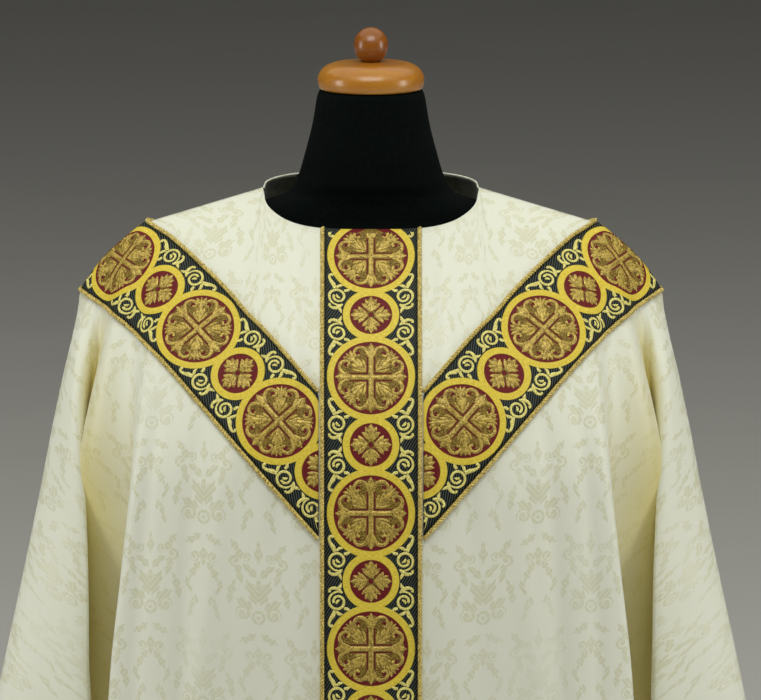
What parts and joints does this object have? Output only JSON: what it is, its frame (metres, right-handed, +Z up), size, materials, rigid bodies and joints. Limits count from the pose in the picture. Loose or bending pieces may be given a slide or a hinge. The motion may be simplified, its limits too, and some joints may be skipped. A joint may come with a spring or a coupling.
{
  "type": "semi-gothic chasuble on dress form",
  "caption": "Wide round-hemmed vestment of damask with a Y-shaped woven orphrey front and back, hanging in folds from a limbless dress form on a stand.",
  "frame": {"origin": "on the floor under the middle of the stand's base", "axes": "+Z up, -Y the front of the garment, +X the wearer's left"},
  "size_m": [0.7958, 0.441, 1.6178],
  "materials": {
    "damask": "cream tone-on-tone silk damask with a soft satin sheen",
    "galloon": "woven galloon of dark green-black ground with gold, yellow and burgundy roundels",
    "cord": "twisted gold thread piping",
    "jersey": "near-black stretch jersey",
    "cap_wood": "turned wood with honey-orange varnish",
    "ball_wood": "turned wood with a darker varnish",
    "stand_wood": "turned wood, varnished"
  },
  "bodies": {
    "root": {"front_panel": "damask", "back_panel": "damask", "front_column": "galloon", "front_arm_left": "galloon", "front_arm_right": "galloon", "back_column": "galloon", "back_arm_left": "galloon", "back_arm_right": "galloon", "front_column_cord_left": "cord", "front_column_cord_right": "cord", "front_arm_left_cord_upper": "cord", "front_arm_left_cord_lower": "cord", "front_arm_right_cord_upper": "cord", "front_arm_right_cord_lower": "cord", "back_column_cord_left": "cord", "back_column_cord_right": "cord", "back_arm_left_cord_upper": "cord", "back_arm_left_cord_lower": "cord", "back_arm_right_cord_upper": "cord", "back_arm_right_cord_lower": "cord", "form_body": "jersey", "neck_cap": "cap_wood", "cap_ball": "ball_wood", "pole": "stand_wood", "base": "stand_wood"}
  },
  "joints": []
}
